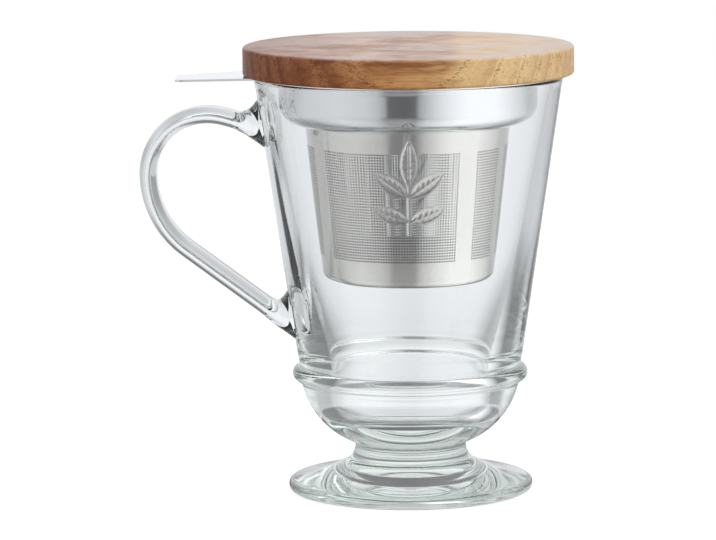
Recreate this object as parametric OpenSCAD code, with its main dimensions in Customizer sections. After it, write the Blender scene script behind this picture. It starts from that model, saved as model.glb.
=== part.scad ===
// Lidded glass tea mug with a lift-out steel infuser and a loose oak lid.
// Origin: middle of the foot, on the table. +Z up, the handle on -X, the front at -Y.

/* [Mug] */
// Height of the glass, from the table to the rim
mug_h = 120.2; // [108:0.1:134]
// Outer diameter of the rim
rim_d = 88.8; // [86:0.1:91]
// Thickness of the wall at the rim
rim_wall = 3.4; // [2.6:0.1:3.8]
// Rounding of the rim's two edges
rim_round = 1; // [0.5:0.1:1.2]
// Outer diameter of the waist, just above the bead
waist_d = 65; // [62:0.1:67]
// Height of the waist
waist_z = 39.6; // [38.5:0.1:44]

/* [Bead and bowl] */
// Outer diameter of the bead round the glass
bead_d = 68; // [67.2:0.1:70]
// Height of the middle of the bead
bead_z = 34.4; // [33.8:0.1:36]
// Thickness of the bead, from its lower edge to its upper one
bead_t = 4.4; // [3.6:0.1:5]
// Depth of the groove above and below the bead
bead_inset = 0.4; // [0:0.1:0.8]
// Bulge of the bowl below the bead, beyond a straight cone
bowl_bulge = 3.4; // [1:0.1:4]
// Outer diameter of the neck under the bowl
neck_d = 32.2; // [28:0.1:35]
// Height of the neck's narrowest place
neck_z = 13.2; // [11:0.1:14]

/* [Cavity] */
// Inner diameter where the straight wall ends and begins to bend inwards
bend_d = 66.8; // [65:0.1:68]
// Height of that place
bend_z = 80; // [72:0.5:84]
// Inner diameter at the waist, where the well begins
well_d = 46.6; // [44:0.1:49]
// Height of that place
well_z = 37; // [35:0.5:42]
// Bulge of the well's wall, beyond a straight cone
well_bulge = 1.15; // [0.5:0.05:2]
// Height of the cavity's floor
floor_z = 21.6; // [20:0.1:24]
// Diameter of the flat part of the floor
floor_d = 36; // [28:0.5:38]
// Width of the rounded corner round the floor
floor_round = 2.4; // [1:0.1:3]

/* [Foot] */
// Outer diameter of the foot
foot_d = 70.6; // [62:0.1:76]
// Thickness of the foot's rounded edge
foot_edge = 3.6; // [2.6:0.1:4.4]
// Height of the foot where the neck's fillet begins
foot_top = 8.4; // [7.4:0.1:9]
// Diameter of the hollow under the foot
hollow_d = 35.8; // [26:0.1:40]
// Depth of the hollow under the foot
hollow_h = 4.6; // [2:0.1:6]
// Width of the ring that the foot stands on
stand_w = 6; // [3:0.5:9]

/* [Handle] */
// Depth of the handle's upper seat below the rim
handle_drop = 13.6; // [12.7:0.1:20]
// Height of the handle's lower seat above the waist
handle_rise = 11.6; // [9.4:0.1:16]
// Reach of the handle, from the mug's axis to its outer face
handle_reach = 77.6; // [72:0.1:86]
// Thickness of the strap, seen from the front
strap_t = 5.3; // [4.5:0.1:7]
// Width of the strap, seen from the side
strap_w = 13; // [9:0.5:16]
// Rise of the crown above the upper seat
crown_rise = 2.9; // [1:0.1:4]
// Radius of the crown
crown_r = 17; // [13:0.5:19]
// Radius of the bend below the crown
heel_r = 27; // [20:0.5:32]
// Height of each pad on the wall
pad_h = 14.4; // [10:0.1:15]
// Extra width of each pad beyond the strap's
pad_flare = 3; // [0:0.5:5]
// Length over which the strap grows into a pad
flare_l = 8; // [5:0.5:10]
// Length of the strap's bend into the lower pad
foot_l = 7; // [5:0.5:9]
// Fall of the strap over that bend
foot_drop = 3.6; // [2:0.1:5]

/* [Relief] */
// How far the sprig on the front stands out of the wall
relief_h = 0.9; // [0.5:0.1:1.2]
// Height of the sprig
sprig_h = 27; // [20:0.5:30]
// Depth of the sprig's tip below the rim
sprig_drop = 14.2; // [8:0.1:24]
// Width of the sprig's stem
stem_w = 1.1; // [0.8:0.1:1.6]

/* [Infuser] */
// Thickness of the steel sheet
sheet_t = 0.6; // [0.4:0.1:0.8]
// Outer diameter of the flange that rests on the rim
flange_d = 89.2; // [87:0.1:92]
// Outer diameter of the collar
collar_d = 74.8; // [70:0.1:76]
// Depth of the collar below the rim
collar_h = 13.6; // [11:0.1:18]
// Rounding between the collar and its shoulder
shoulder_r = 3.2; // [2:0.1:4]
// Outer diameter of the basket at its top
basket_top_d = 58.8; // [54:0.1:62]
// Outer diameter of the basket at its bottom
basket_low_d = 48.8; // [44:0.1:50]
// Height of the basket below the shoulder
basket_h = 44.6; // [36:0.1:52]
// Height of the turned-up edge of the basket's floor
skirt_h = 5; // [3:0.1:8]
// Rounding of the basket's lower edge
basket_round = 2.4; // [1.2:0.1:3]

/* [Lift tab] */
// Reach of the tab, from the mug's axis to its tip
tab_reach = 66.6; // [60:0.1:72]
// Width of the tab where it leaves the flange
tab_root_w = 26; // [18:0.5:32]
// Width of the tab at its tip
tab_tip_w = 15; // [10:0.5:18]
// Rounding of the tip's corners
tab_round = 1.6; // [0.5:0.1:3]
// Angle by which the tab droops
tab_droop = 2; // [0:0.5:3]

/* [Lid] */
// Diameter of the oak lid
lid_d = 95; // [92:0.1:102]
// Thickness of the lid
lid_t = 8.2; // [7:0.1:12]
// Rounding of the lid's edges
lid_round = 1.4; // [0.5:0.1:2.5]
// Depth of the turned boss under the lid
boss_h = 6; // [5:0.1:9]
// Space between the boss and the inside of the collar
boss_gap = 0.8; // [0.5:0.1:1.5]
// Chamfer of the boss's lower edge
boss_chamfer = 0.5; // [0.3:0.1:0.8]
// Depth of the groove in the boss
groove_t = 1.6; // [1.2:0.1:2.5]
// Height of the groove in the boss
groove_h = 3.2; // [2.4:0.1:3.6]

/* [Fits] */
// Running gap between the silicone ring and what it meets
seal_gap = 0.08; // [0.05:0.01:0.15]

/* [Hidden] */
$fn = 120;

GLASS = "lightcyan";
STEEL = "silver";
OAK = "peru";
SILICONE = "whitesmoke";
ARC_STEPS = 8;      // straight steps in each arc of a turned outline
SPARE = 1;          // how far a cutting body reaches beyond what it cuts

rim_r = rim_d / 2;
rim_in_r = rim_r - rim_wall;
waist_r = waist_d / 2;
neck_r = neck_d / 2;
foot_r = foot_d / 2;
bead_core_r = bead_d / 2 - bead_t / 2;      // radius of the circle through the middle of the bead's section
collar_out_r = collar_d / 2;
collar_in_r = collar_out_r - sheet_t;
flange_r = flange_d / 2;
shoulder_z = mug_h - collar_h;              // underside of the shoulder, and top of the basket
basket_top_r = basket_top_d / 2;
basket_low_r = basket_low_d / 2;
basket_z = shoulder_z - basket_h;           // underside of the basket
lid_z = mug_h + sheet_t;                    // underside of the lid, on the flange
lid_r = lid_d / 2;
boss_r = collar_in_r - boss_gap;
boss_z = lid_z - boss_h;
groove_z = boss_z + (boss_h - groove_h) / 2;

// A point turned about the origin
function turned(p, angle) = [p.x * cos(angle) - p.y * sin(angle), p.x * sin(angle) + p.y * cos(angle)];

// The arc from a to b whose middle stands sag to the left of the way from a to b; b itself is left out
function bow(a, b, sag, steps = ARC_STEPS) =
    let (
        half = norm(b - a) / 2,
        left = [a.y - b.y, b.x - a.x] / (2 * half),
        radius = (half * half + sag * sag) / (2 * sag),
        centre = (a + b) / 2 + left * (sag - radius),
        sweep = -4 * atan(sag / half)
    )
    [for (i = [0 : steps - 1]) centre + turned(a - centre, sweep * i / steps)];

// Sag of a quarter circle over its chord, for a given radius
function quarter_sag(radius) = radius * (1 - sqrt(0.5));

// Outer radius of the glass between the waist and the rim
function wall_r(z) = waist_r + (rim_r - waist_r) * (z - waist_z) / (mug_h - waist_z);

// Slope of the wall: how much wider it gets for each millimetre of height
wall_slope = (rim_r - waist_r) / (mug_h - waist_z);
wall_up = [-wall_slope, 1] / norm([wall_slope, 1]);     // along the wall, upwards, at the handle
wall_out = [-1, -wall_slope] / norm([wall_slope, 1]);   // out of the wall, at the handle

// ---- glass ----

LIP_H = 0.6;        // height of the hollow's edge above the table
ANKLE_SLOPE = 0.6;  // how much wider the neck gets, for each millimetre down to the foot
ANKLE_SAG = 0.7;    // hollow of the fillet between neck and foot
INSTEP_SAG = 0.6;   // hollow of the foot's upper face
THROAT = [0.5, 0.8];    // from the neck's narrowest place, outwards and up to the bowl
THROAT_SAG = 0.15;  // rounding over that way
UNDER_BEAD = 0.8;   // from the bead's lower edge down to the top of the bowl
BEND_SAG = 0.44;    // how far the cavity's wall bows out between the bend and the well

module mug_foot() {
    edge = foot_edge / 2;
    stand_out_r = foot_r - edge;
    stand_in_r = stand_out_r - stand_w;
    lip = [hollow_d / 2, LIP_H];
    brim = [foot_r - edge, foot_edge];
    instep = [neck_r + (neck_z - foot_top) * ANKLE_SLOPE, foot_top];
    outline = [
        each bow([0, lip.y + hollow_h], lip, hollow_h / 5),
        lip,
        [stand_in_r, 0],
        each bow([stand_out_r, 0], [foot_r, edge], -quarter_sag(edge)),
        each bow([foot_r, edge], brim, -quarter_sag(edge)),
        each bow(brim, instep, INSTEP_SAG),
        each bow(instep, [neck_r, neck_z], ANKLE_SAG),
        [neck_r, neck_z],
        [0, neck_z]
    ];
    color(GLASS) rotate_extrude() polygon(outline);
}

module bowl_body() {
    bowl_low = [neck_r, neck_z] + THROAT;
    bowl_top = [bead_core_r - bead_inset, bead_z - bead_t / 2 - UNDER_BEAD];
    outline = [
        [0, neck_z],
        each bow([neck_r, neck_z], bowl_low, THROAT_SAG, 3),
        each bow(bowl_low, bowl_top, -bowl_bulge, 2 * ARC_STEPS),
        bowl_top,
        [bead_core_r, bead_z],
        [waist_r - bead_inset, bead_z + bead_t / 2],
        [waist_r, waist_z],
        each bow([wall_r(mug_h - rim_round), mug_h - rim_round], [rim_r - rim_round, mug_h],
                 -quarter_sag(rim_round)),
        [rim_r - rim_round, mug_h],
        [0, mug_h]
    ];
    rotate_extrude() polygon(outline);
    translate([0, 0, bead_z]) rotate_extrude() translate([bead_core_r, 0]) circle(d = bead_t, $fn = 48);
}

// The hollow that holds the tea, with the rim's inner edge rounded
module cavity() {
    floor_r = floor_d / 2;
    knee = [floor_r + floor_round, floor_z + floor_round * 3 / 4];
    well = [well_d / 2, well_z];
    bend = [bend_d / 2, bend_z];
    rim_top_r = rim_in_r + rim_round;
    outline = [
        [0, floor_z],
        each bow([floor_r, floor_z], knee, -floor_round / 6, 4),
        each bow(knee, well, -well_bulge),
        each bow(well, bend, -BEND_SAG),
        bend,
        each bow([rim_in_r, mug_h - rim_round], [rim_top_r, mug_h], quarter_sag(rim_round)),
        [rim_top_r, mug_h],
        [rim_top_r, mug_h + SPARE],
        [0, mug_h + SPARE]
    ];
    rotate_extrude() polygon(outline);
}

// A pointed leaf with its stalk at the origin, lying along +X
module leaf(length, width) {
    arc_r = (length * length / 4 + width * width / 4) / width;
    intersection() {
        translate([length / 2, arc_r - width / 2]) circle(arc_r);
        translate([length / 2, width / 2 - arc_r]) circle(arc_r);
    }
}

// Tea sprig: an upright bud on a stem with two pairs of leaves, as [height up the stem, angle, length, width].
// Heights, lengths and widths are shares of the sprig's height.
SPRIG = [[0.5, 90, 0.5, 0.2], [0.4, 35, 0.42, 0.16], [0.4, 145, 0.42, 0.16],
         [0.14, 20, 0.38, 0.15], [0.14, 160, 0.38, 0.15]];
STEM_SHARE = 0.6;

module sprig() {
    for (part = SPRIG)
        translate([0, part[0] * sprig_h]) rotate(part[1]) leaf(part[2] * sprig_h, part[3] * sprig_h);
    translate([-stem_w / 2, 0]) square([stem_w, STEM_SHARE * sprig_h]);
}

module relief() {
    intersection() {
        translate([0, 0, mug_h - sprig_drop - sprig_h])
            rotate([90, 0, 0]) linear_extrude(rim_r + relief_h + SPARE) sprig();
        rotate_extrude() polygon([
            [wall_r(waist_z) - SPARE, waist_z],
            [wall_r(waist_z) + relief_h, waist_z],
            [wall_r(mug_h) + relief_h, mug_h],
            [wall_r(mug_h) - SPARE, mug_h]
        ]);
    }
}

module mug_bowl() {
    color(GLASS) {
        difference() {
            bowl_body();
            cavity();
        }
        relief();
    }
}

// ---- handle: one strap swept along a crown, a heel and a straight, flaring into a pad at each end ----

CROWN_STEPS = 10;               // steps from the upper seat to the crown, and as many over it
HEEL_STEPS = 8;                 // steps round the heel, and as many into the lower pad
SLANT_STEPS = 5;                // steps down the straight
RING = 20;                      // corners of each section
SQUARENESS = 0.7;               // power that rounds each section: 1 is an ellipse, less is squarer
HI_PULL = 7;                    // how far the strap leaves the upper seat straight out of the wall
CROWN_PULL = 0.4;               // how flat the strap comes up to the crown, as a share of its radius
seat_sink = rim_wall / 2;       // how far each pad is fused into the wall
function seat(z) = [-wall_r(z), z] - wall_out * seat_sink;

seat_hi_z = mug_h - handle_drop;
seat_hi = seat(seat_hi_z);
seat_lo = seat(waist_z + handle_rise);
bend_lo = seat_lo + wall_out * (seat_sink + foot_l) + [0, foot_drop];
side_x = strap_t / 2 - handle_reach;                    // middle of the strap at its furthest
crown_z = seat_hi_z + crown_rise;
crown_c = [side_x + crown_r, crown_z - crown_r];
heel_c = [side_x + heel_r, crown_c.y];
to_bend = bend_lo - heel_c;
heel_end = atan2(to_bend.y, to_bend.x) - acos(heel_r / norm(to_bend));     // where the straight leaves the heel

function on_circle(centre, radius, angle) = centre + radius * [cos(angle), sin(angle)];
function bezier(a, b, c, d, t) =
    a * pow(1 - t, 3) + b * 3 * t * pow(1 - t, 2) + c * 3 * t * t * (1 - t) + d * pow(t, 3);

crown_top = [crown_c.x, crown_z];
heel_out = on_circle(heel_c, heel_r, heel_end);
slant = (bend_lo - heel_out) / norm(bend_lo - heel_out);
strap_path = [
    for (i = [0 : CROWN_STEPS - 1])
        bezier(seat_hi, seat_hi + wall_out * HI_PULL, crown_top + [crown_r * CROWN_PULL, 0], crown_top,
               i / CROWN_STEPS),
    for (i = [0 : CROWN_STEPS - 1]) on_circle(crown_c, crown_r, 90 + 90 * i / CROWN_STEPS),
    for (i = [0 : HEEL_STEPS - 1]) on_circle(heel_c, heel_r, -180 + (heel_end + 180) * i / HEEL_STEPS),
    for (i = [0 : SLANT_STEPS - 1]) heel_out + (bend_lo - heel_out) * i / SLANT_STEPS,
    for (i = [0 : HEEL_STEPS - 1])
        bezier(bend_lo, bend_lo + slant * foot_l / 2, seat_lo + wall_out * (seat_sink + foot_l / 3), seat_lo,
               i / (HEEL_STEPS - 1))
];

// Nearness to a pad: 1 at the seat, 0 from flare_l outwards
function nearness(p, place) = max(0, 1 - max(0, norm(p - place) - seat_sink) / flare_l);
function flare(p) = max(nearness(p, seat_hi), nearness(p, seat_lo));
function path_dir(i) =
    let (d = strap_path[min(i + 1, len(strap_path) - 1)] - strap_path[max(i - 1, 0)]) d / norm(d);

// Direction across the strap's thickness: square to its path, and along the wall at a pad
function across(i) =
    let (
        d = path_dir(i),
        k = flare(strap_path[i]),
        square_to = [d.y, -d.x],
        v = square_to * (1 - k) + wall_up * k * sign(square_to * wall_up)
    )
    v / norm(v);

// Rounded section: a superellipse, half_t by half_w
function rounded(a) = sign(a) * pow(abs(a), SQUARENESS);
function ring(i) =
    let (
        p = strap_path[i],
        k = flare(p),
        half_t = (strap_t + (pad_h - strap_t) * k * k) / 2,
        half_w = (strap_w + pad_flare * k * k) / 2,
        u = across(i)
    )
    [for (j = [0 : RING - 1])
        let (
            a = 360 * j / RING,
            q = p + u * half_t * rounded(cos(a))
        )
        [q.x, half_w * rounded(sin(a)), q.y]];

module mug_handle() {
    count = len(strap_path);
    points = [for (i = [0 : count - 1]) each ring(i)];
    walls = [for (i = [0 : count - 2], j = [0 : RING - 1])
        let (a = i * RING + j, b = i * RING + (j + 1) % RING)
        [a, b, b + RING, a + RING]];
    near_end = [for (j = [RING - 1 : -1 : 0]) j];
    far_end = [for (j = [0 : RING - 1]) (count - 1) * RING + j];
    color(GLASS) polyhedron(points, concat([near_end, far_end], walls), convexity = 6);
}

// ---- steel ----

// Flange, collar and shoulder, drawn from one sheet
module infuser_collar() {
    inner_r = shoulder_r - sheet_t;
    outline = [
        [flange_r, mug_h],
        [flange_r, lid_z],
        [collar_in_r, lid_z],
        each bow([collar_in_r, shoulder_z + shoulder_r], [collar_out_r - shoulder_r, shoulder_z + sheet_t],
                 quarter_sag(inner_r)),
        [collar_out_r - shoulder_r, shoulder_z + sheet_t],
        [basket_top_r - sheet_t, shoulder_z + sheet_t],
        [basket_top_r - sheet_t, shoulder_z],
        each bow([collar_out_r - shoulder_r, shoulder_z], [collar_out_r, shoulder_z + shoulder_r],
                 -quarter_sag(shoulder_r)),
        [collar_out_r, shoulder_z + shoulder_r],
        [collar_out_r, mug_h]
    ];
    color(STEEL) rotate_extrude() polygon(outline);
}

// A flat tongue that leaves the flange under the lid and droops from there
module lift_tab() {
    tip = -tab_reach;
    half_tip = tab_tip_w / 2;
    half_root = tab_root_w / 2;
    root_x = -sqrt(flange_r * flange_r - half_root * half_root) + SPARE;
    plan = [
        [root_x, -half_root],
        [root_x, half_root],
        each bow([tip + tab_round, half_tip], [tip, half_tip - tab_round], -quarter_sag(tab_round), 4),
        each bow([tip, tab_round - half_tip], [tip + tab_round, -half_tip], -quarter_sag(tab_round), 4),
        [tip + tab_round, -half_tip]
    ];
    color(STEEL) difference() {
        translate([-flange_r, 0, lid_z - sheet_t / 2]) rotate([0, -tab_droop, 0])
            translate([flange_r, 0, -sheet_t / 2]) linear_extrude(sheet_t) polygon(plan);
        translate([0, 0, mug_h - sheet_t - SPARE]) cylinder(r = flange_r, h = 3 * sheet_t + 2 * SPARE);
        translate([0, 0, lid_z]) cylinder(r = tab_reach, h = sheet_t + SPARE);
    }
}

// Radius of the outside of the basket at a height
function basket_r(z) = basket_low_r + (basket_top_r - basket_low_r) * (z - basket_z) / basket_h;

module basket_wall() {
    low = basket_z + basket_round;
    color(STEEL) rotate_extrude() polygon([
        [basket_r(low) - sheet_t, low],
        [basket_r(low), low],
        [basket_top_r, shoulder_z],
        [basket_top_r - sheet_t, shoulder_z]
    ]);
}

// Pressed floor: a shallow cup whose edge turns up inside the wall, with a rounded corner flush with the wall
module basket_floor() {
    low = basket_z + basket_round;
    top = low + skirt_h;
    corner_r = basket_r(low) - basket_round;
    inner = basket_round - sheet_t;
    outline = [
        [0, basket_z],
        each bow([corner_r, basket_z], [basket_r(low), low], -quarter_sag(basket_round)),
        [basket_r(low), low],
        [basket_r(low) - sheet_t, low],
        [basket_r(top) - sheet_t, top],
        [basket_r(top) - 2 * sheet_t, top],
        [basket_r(low) - 2 * sheet_t, low],
        each bow([corner_r + inner - sheet_t, low], [corner_r - sheet_t, basket_z + sheet_t],
                 quarter_sag(inner)),
        [corner_r - sheet_t, basket_z + sheet_t],
        [0, basket_z + sheet_t]
    ];
    color(STEEL) rotate_extrude() polygon(outline);
}

// ---- lid ----

// Silicone ring: a flat band in the boss's groove with a rounded lip towards the collar
module seal_ring() {
    low = groove_z + seal_gap;
    high = groove_z + groove_h - seal_gap;
    back_r = boss_r - groove_t + seal_gap;
    lip_r = collar_in_r - seal_gap;
    lip_out = (high - low) / 3;
    outline = [
        [back_r, low],
        each bow([lip_r - lip_out, low], [lip_r - lip_out, high], -lip_out),
        [lip_r - lip_out, high],
        [back_r, high]
    ];
    color(SILICONE) rotate_extrude() polygon(outline);
}

module lid_disc() {
    top = lid_z + lid_t;
    outline = [
        [0, boss_z],
        [boss_r - boss_chamfer, boss_z],
        [boss_r, boss_z + boss_chamfer],
        [boss_r, groove_z],
        [boss_r - groove_t, groove_z],
        [boss_r - groove_t, groove_z + groove_h],
        [boss_r, groove_z + groove_h],
        [boss_r, lid_z],
        each bow([lid_r - lid_round, lid_z], [lid_r, lid_z + lid_round], -quarter_sag(lid_round)),
        each bow([lid_r, top - lid_round], [lid_r - lid_round, top], -quarter_sag(lid_round)),
        [lid_r - lid_round, top],
        [0, top]
    ];
    color(OAK) rotate_extrude() polygon(outline);
}

mug_foot();
mug_bowl();
mug_handle();
infuser_collar();
lift_tab();
basket_wall();
basket_floor();
seal_ring();
lid_disc();
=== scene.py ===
"""Looks of a footed glass tea mug with a lift-out steel infuser and a loose oak lid.

Lengths are in millimetres in the mug's own frame and are written to the meshes in metres. The origin is the
middle of the foot on the table, +Z is up, the handle points along -X and the front faces -Y.
"""
import logging
import math
from collections.abc import Mapping, Sequence
from dataclasses import dataclass
from enum import Enum

import bmesh
import bpy
import numpy as np
from mathutils import Matrix, Vector


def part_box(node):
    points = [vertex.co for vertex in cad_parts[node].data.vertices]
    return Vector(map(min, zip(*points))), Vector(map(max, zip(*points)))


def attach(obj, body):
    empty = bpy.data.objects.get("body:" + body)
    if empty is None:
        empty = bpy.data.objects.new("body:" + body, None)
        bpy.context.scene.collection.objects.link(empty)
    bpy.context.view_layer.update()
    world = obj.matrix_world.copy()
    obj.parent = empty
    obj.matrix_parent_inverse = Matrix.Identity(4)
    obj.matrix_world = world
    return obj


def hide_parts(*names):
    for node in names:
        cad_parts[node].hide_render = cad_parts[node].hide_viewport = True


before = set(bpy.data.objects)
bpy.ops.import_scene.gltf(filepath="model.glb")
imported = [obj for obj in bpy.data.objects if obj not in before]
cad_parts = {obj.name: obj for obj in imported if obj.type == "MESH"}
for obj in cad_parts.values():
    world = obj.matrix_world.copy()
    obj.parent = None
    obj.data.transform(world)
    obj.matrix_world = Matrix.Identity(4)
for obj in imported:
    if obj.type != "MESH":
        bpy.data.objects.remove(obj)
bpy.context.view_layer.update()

LOG = logging.getLogger("tea_mug")
MM = 0.001                      # metres in a millimetre
FRONT = -math.pi / 2            # angle about the axis at which the front faces
CREASE = 40.0                   # angle between faces, in degrees, past which an edge stays sharp
MERGE = 1e-8                    # distance in metres under which two points are one
SPIN = "spin"                   # attribute of turned pieces: cosine, sine, and metres along the outline

Array = np.ndarray
Socket = bpy.types.NodeSocket
Triple = tuple[float, float, float]
Colour = Triple
Range = tuple[float, float]
Belt = tuple[Range, ...]        # brightness by angle to the right of the front, in degrees

DAYLIGHT: Colour = (0.945, 0.965, 1.0)  # tint of the lights


# ---------------------------------------------------------------- outlines

def bow(start: Sequence[float], end: Sequence[float], sag: float, steps: int) -> Array:
    """Arc whose middle stands to the left of the way from start to end.

    The circle through both ends has the radius (h² + s²) / 2s, with h half the chord and s the sag.

    Args:
        start: First point, radius and height.
        end: Last point, which is left out.
        sag: Height of the arc over its chord; negative bows to the right.
        steps: Number of points.

    Returns:
        The points, steps by 2.
    """
    a, b = np.asarray(start, float), np.asarray(end, float)
    half = np.linalg.norm(b - a) / 2
    left = np.array([a[1] - b[1], b[0] - a[0]]) / (2 * half)
    radius = (half ** 2 + sag ** 2) / (2 * sag)
    centre = (a + b) / 2 + left * (sag - radius)
    turn = -4 * math.atan(sag / half) * np.arange(steps) / steps
    cos, sin = np.cos(turn), np.sin(turn)
    x, y = a - centre
    return centre + np.stack([x * cos - y * sin, x * sin + y * cos], axis=1)


def quarter(start: Sequence[float], end: Sequence[float], radius: float, steps: int = 8) -> Array:
    """Quarter circle, whose sag is r (1 - √½).

    Args:
        start: First point.
        end: Last point, which is left out.
        radius: Radius; positive bows to the left of the way, negative to the right.
        steps: Number of points.

    Returns:
        The points, steps by 2.
    """
    return bow(start, end, radius * (1 - math.sqrt(0.5)), steps)


def straight(start: Sequence[float], end: Sequence[float], step: float) -> Array:
    """Evenly spaced points on a line.

    Args:
        start: First point.
        end: Last point, which is left out.
        step: Largest distance between neighbours.

    Returns:
        The points, one a row.
    """
    a, b = np.asarray(start, float), np.asarray(end, float)
    count = max(1, math.ceil(np.linalg.norm(b - a) / step))
    return a + (b - a) * np.arange(count)[:, None] / count


def smooth(value: Array) -> Array:
    """Smooth step from 0 to 1: 3t² - 2t³, with t the value held between 0 and 1."""
    t = np.clip(value, 0, 1)
    return t * t * (3 - 2 * t)


def even_angles(columns: int) -> Array:
    """That many angles, evenly spaced over a full turn from the back of the mug."""
    return math.pi / 2 + np.arange(columns) * 2 * math.pi / columns


def within_half_turn(degrees: Array) -> Array:
    """The same angles between -180 and 180 degrees."""
    return (degrees + 180) % 360 - 180


# ---------------------------------------------------------------- meshes

def grid_quads(rows: int, columns: int, ring: bool = False) -> Array:
    """Corners of the quads between the points of a grid that closes round its columns.

    Args:
        rows: Rows of points.
        columns: Points in a row.
        ring: Whether the last row joins the first.

    Returns:
        Corner numbers, by row, column and corner.
    """
    row = np.arange(rows if ring else rows - 1)[:, None]
    column = np.arange(columns)[None, :]
    below, above = row * columns, (row + 1) % rows * columns
    beside = (column + 1) % columns
    return np.stack([below + column, below + beside, above + beside, above + column], axis=-1)


def build(name: str, points: Array, quads: Array, spin: Array | None = None) -> bpy.types.Object:
    """Object of a mesh with doubles merged, which closes seams and poles, and with faces that point outwards.

    Args:
        name: Name of the piece.
        points: Points in millimetres, one a row.
        quads: Corner numbers, in any shape that ends in four.
        spin: Vector of the SPIN attribute at each point, for a turned piece.

    Returns:
        The object, smooth-shaded, at the origin.
    """
    mesh = bpy.data.meshes.new(name)
    mesh.vertices.add(len(points))
    mesh.vertices.foreach_set("co", (points * MM).ravel())
    mesh.loops.add(quads.size)
    mesh.loops.foreach_set("vertex_index", quads.ravel())
    mesh.polygons.add(quads.size // 4)
    mesh.polygons.foreach_set("loop_start", np.arange(0, quads.size, 4))
    mesh.update(calc_edges=True)
    if spin is not None:
        mesh.attributes.new(SPIN, "FLOAT_VECTOR", "POINT").data.foreach_set("vector", spin.ravel())
    work = bmesh.new()
    work.from_mesh(mesh)
    bmesh.ops.remove_doubles(work, verts=work.verts, dist=MERGE)
    bmesh.ops.recalc_face_normals(work, faces=work.faces)
    work.to_mesh(mesh)
    work.free()
    mesh.shade_smooth()
    piece = bpy.data.objects.new(name, mesh)
    bpy.context.scene.collection.objects.link(piece)
    return piece


def turned_grid(outline: Array, angles: Array, swell: Array | float = 0.0) -> tuple[Array, Array]:
    """Surface of revolution: (r cos a, r sin a, z), with r the outline's radius plus the swell.

    Args:
        outline: Radius and height of each row.
        angles: Angle of each column.
        swell: Added radius, a number or rows by columns.

    Returns:
        The points and their SPIN vectors, row after row.
    """
    shape = (len(outline), len(angles))
    radius = np.broadcast_to(outline[:, :1] + swell, shape)
    height = np.broadcast_to(outline[:, 1:], shape)
    cos, sin = (np.broadcast_to(f(angles), shape) for f in (np.cos, np.sin))
    way = np.concatenate([[0], np.cumsum(np.linalg.norm(np.diff(outline, axis=0), axis=1))])
    way = np.broadcast_to(way[:, None], shape) * MM
    points = np.stack([radius * cos, radius * sin, height], axis=-1)
    return points.reshape(-1, 3), np.stack([cos, sin, way], axis=-1).reshape(-1, 3)


def turned(name: str, outline: Array, columns: int, ring: bool = True) -> bpy.types.Object:
    """Turned piece.

    Args:
        name: Name of the piece.
        outline: Radius and height of each row.
        columns: Number of columns round the axis.
        ring: Whether the outline closes on itself; else both its ends lie on the axis.

    Returns:
        The object.
    """
    points, spin = turned_grid(outline, even_angles(columns))
    return build(name, points, grid_quads(len(outline), columns, ring), spin)


def creased(piece: bpy.types.Object, degrees: float = CREASE) -> bpy.types.Object:
    """The piece with sharp edges wherever its faces meet at more than that angle."""
    piece.data.set_sharp_from_angle(angle=math.radians(degrees))
    return piece


def modified(piece: bpy.types.Object) -> bpy.types.Object:
    """Apply a piece's modifiers to its mesh.

    Args:
        piece: The piece, which is changed in place.

    Returns:
        The same piece, without modifiers.
    """
    graph = bpy.context.evaluated_depsgraph_get()
    mesh = bpy.data.meshes.new_from_object(piece.evaluated_get(graph))
    piece.modifiers.clear()
    piece.data = mesh
    return piece


def united(piece: bpy.types.Object, other: bpy.types.Object) -> bpy.types.Object:
    """Union of two closed pieces.

    Args:
        piece: The piece that becomes the union.
        other: The piece that is added to it and removed.

    Returns:
        The first piece.
    """
    union = piece.modifiers.new("union", "BOOLEAN")
    union.operation = "UNION"
    union.solver = "MANIFOLD"
    union.object = other
    modified(piece)
    bpy.data.objects.remove(other)
    return piece


@dataclass(frozen=True)
class Span:
    """What a CAD node takes up: the furthest it reaches from the axis, its lowest and its highest point."""

    radius: float
    low: float
    high: float

    @classmethod
    def of(cls, node: str) -> "Span":
        """Span of that node, in millimetres."""
        low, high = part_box(node)
        return cls(high.y / MM, low.z / MM, high.z / MM)


# ---------------------------------------------------------------- nodes

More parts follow.
